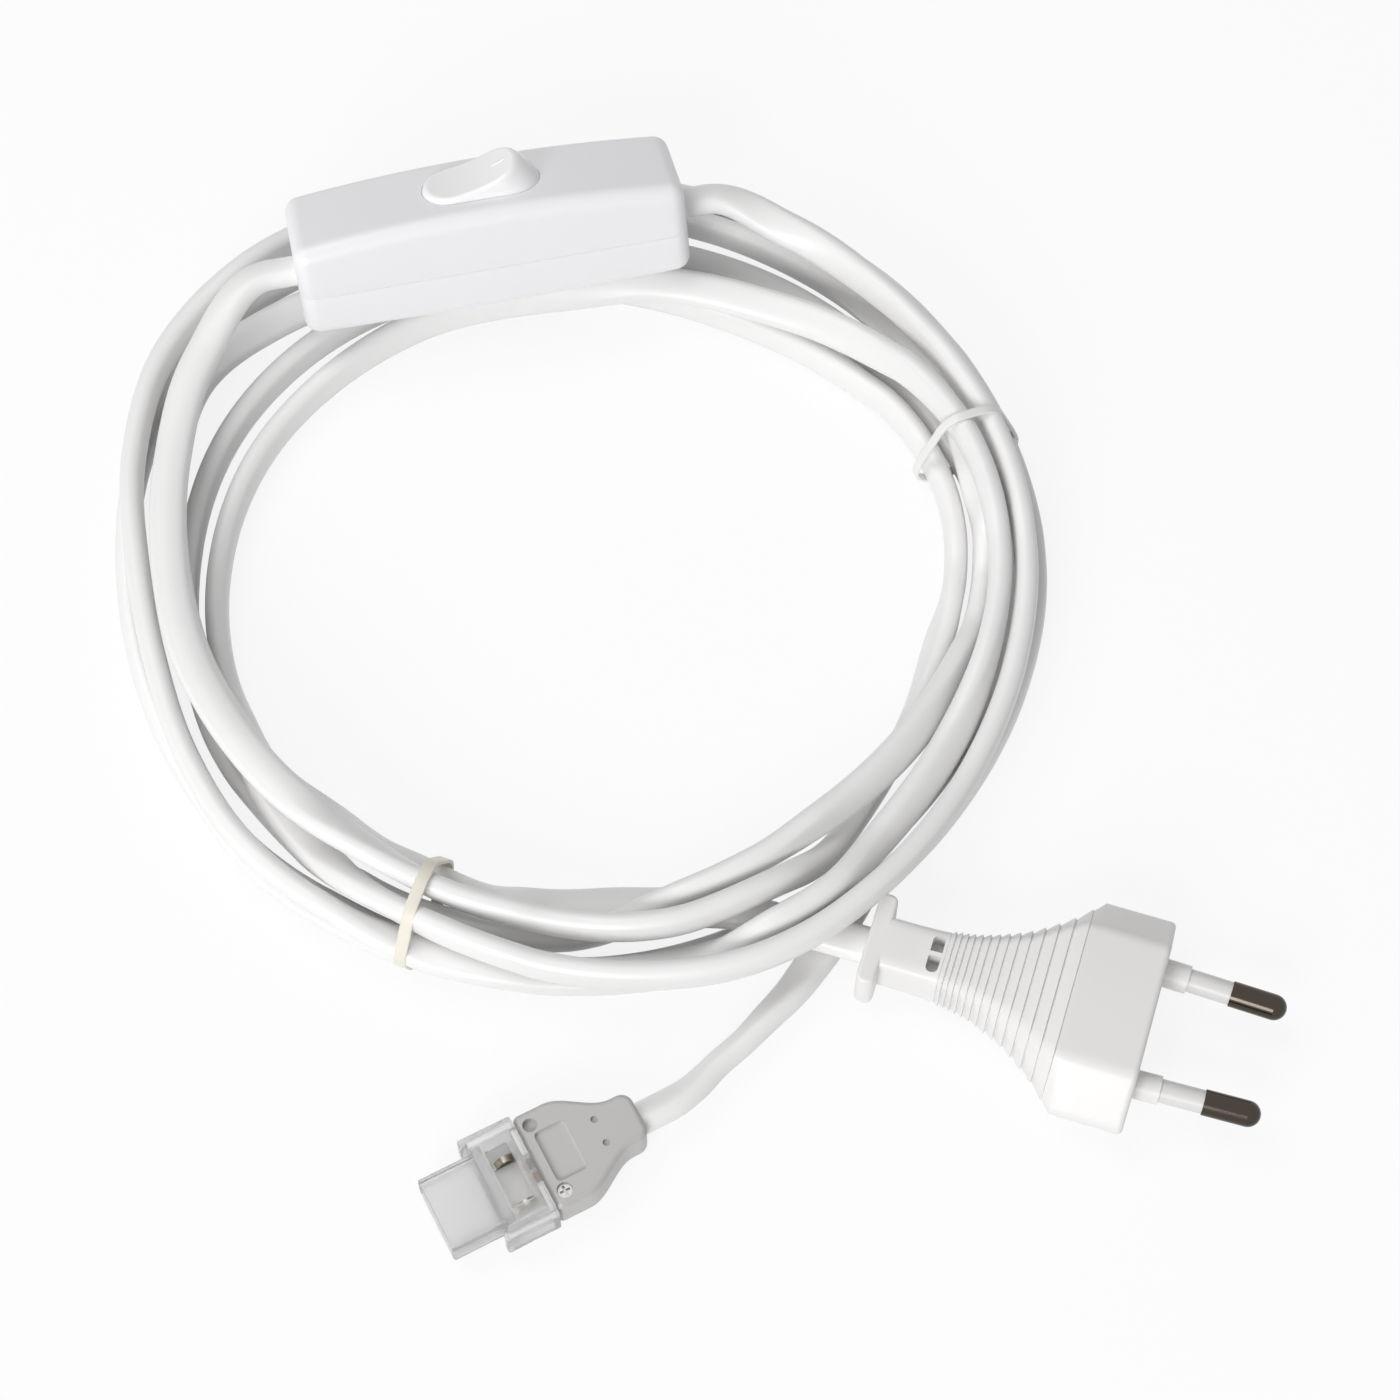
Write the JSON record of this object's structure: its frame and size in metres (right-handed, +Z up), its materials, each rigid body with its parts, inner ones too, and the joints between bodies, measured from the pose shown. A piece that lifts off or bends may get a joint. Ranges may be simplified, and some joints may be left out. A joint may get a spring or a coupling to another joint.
{
  "type": "extension cord",
  "caption": "Coiled flat twin cord with a flat two-pin plug, an in-line rocker switch and a clip-on light strip connector.",
  "frame": {"origin": "centre of the footprint of the plug, switch and end connector, on the surface they lie on", "axes": "+Z up from that surface, +X towards the plug pins' side, +Y towards the switch"},
  "size_m": [0.1834, 0.1934, 0.0325],
  "materials": {
    "white_shell": "satin white moulded plastic",
    "cord_jacket": "smooth white soft PVC",
    "white_sleeve": "satin white sleeve",
    "nickel": "nickel plate",
    "steel": "zinc plated steel",
    "contact_brass": "plain brass strip",
    "core_insulation": "brown core insulation",
    "grey_overmould": "satin light grey overmould",
    "clear_plastic": "clear moulded plastic",
    "pad_white": "whitish contact carrier",
    "tie_white": "thin white tie band",
    "tie_cream": "cream tie band"
  },
  "bodies": {
    "cord_set": {"plug_body": "white_shell", "plug_insert": "white_shell", "plug_pins": "nickel", "pin_sleeves": "white_sleeve", "plug_crimps": "nickel", "plug_cores": "core_insulation", "switch_cover": "white_shell", "switch_base": "white_shell", "rocker_axle": "steel", "bridge_terminal": "contact_brass", "fixed_contact": "contact_brass", "terminal_screws": "steel", "cord_clamps": "white_shell", "clamp_screws": "steel", "housing_screws": "steel", "cord_ends": "cord_jacket", "switch_cores": "core_insulation", "connector_body": "grey_overmould", "connector_clip": "clear_plastic", "strip_sleeve": "clear_plastic", "contact_springs": "contact_brass", "contact_pad": "pad_white", "connector_screw": "steel", "connector_cores": "core_insulation", "coil_plug_side": "cord_jacket", "coil_switch_side": "cord_jacket", "lead_plug": "cord_jacket", "lead_connector": "cord_jacket", "tie_upper": "tie_white", "tie_lower": "tie_cream"},
    "rocker": {"rocker": "white_shell", "rocker_spring": "steel"},
    "bridge": {"contact_bridge": "contact_brass"}
  },
  "joints": [
    {"name": "rocker_tilt", "type": "hinge", "parent": "cord_set", "child": "rocker", "pos_m": [-0.0464, 0.0792, 0.02393], "axis": [-0.1934, 0.9101, -0.3665], "range_deg": [0, 28]},
    {"name": "bridge_tilt", "type": "hinge", "parent": "cord_set", "child": "bridge", "pos_m": [-0.04596, 0.0771, 0.01849], "axis": [-0.1934, 0.9101, -0.3665], "range_deg": [-10, 0]}
  ],
  "couplings": [
    {"joint": "bridge_tilt", "follows": "rocker_tilt", "ratio": -0.35714}
  ]
}
